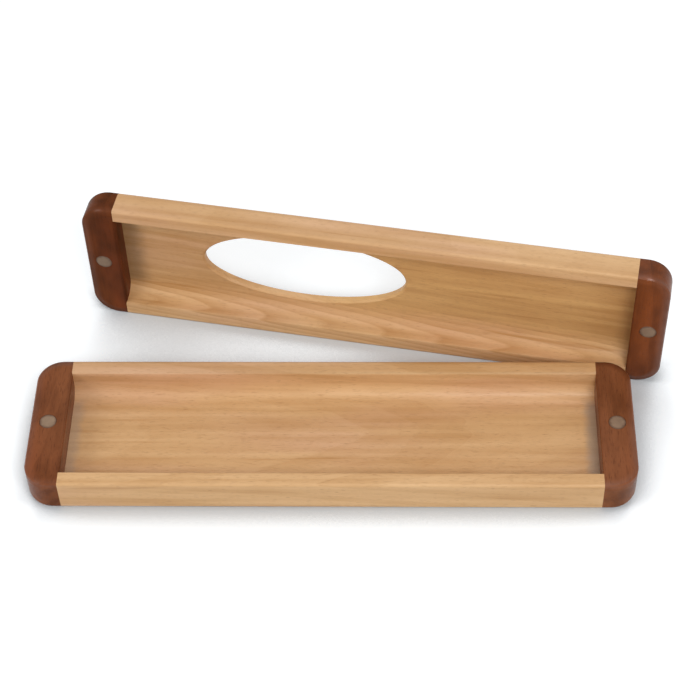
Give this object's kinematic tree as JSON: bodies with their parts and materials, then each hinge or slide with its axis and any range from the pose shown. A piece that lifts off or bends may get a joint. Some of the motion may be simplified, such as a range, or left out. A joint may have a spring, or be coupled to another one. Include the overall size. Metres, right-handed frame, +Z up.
{
  "type": "wooden pen case",
  "caption": "Long narrow wooden pen case in two halves: an open base lying flat and a lift-off lid with an oval window, light wood with dark rounded ends and magnets in the rims.",
  "frame": {"origin": "middle of the base's underside, on the surface it lies on", "axes": "+X along the case to the right, +Y towards the standing lid at the back, +Z up"},
  "size_m": [0.1858, 0.0858, 0.0455],
  "materials": {
    "light_wood": "satin lacquer, straight fine grain",
    "dark_wood": "satin lacquer, reddish brown",
    "magnet_metal": "dull nickel plate"
  },
  "bodies": {
    "base": {"base_trough": "light_wood", "base_end_left": "dark_wood", "base_end_right": "dark_wood", "base_magnet_left": "magnet_metal", "base_magnet_right": "magnet_metal"},
    "lid": {"lid_trough": "light_wood", "lid_end_left": "dark_wood", "lid_end_right": "dark_wood", "lid_magnet_left": "magnet_metal", "lid_magnet_right": "magnet_metal"}
  },
  "joints": [
    {"name": "lid_lift", "type": "slide", "parent": "base", "child": "lid", "axis": [0, 0, 1], "range_m": [0, 0.06]}
  ]
}
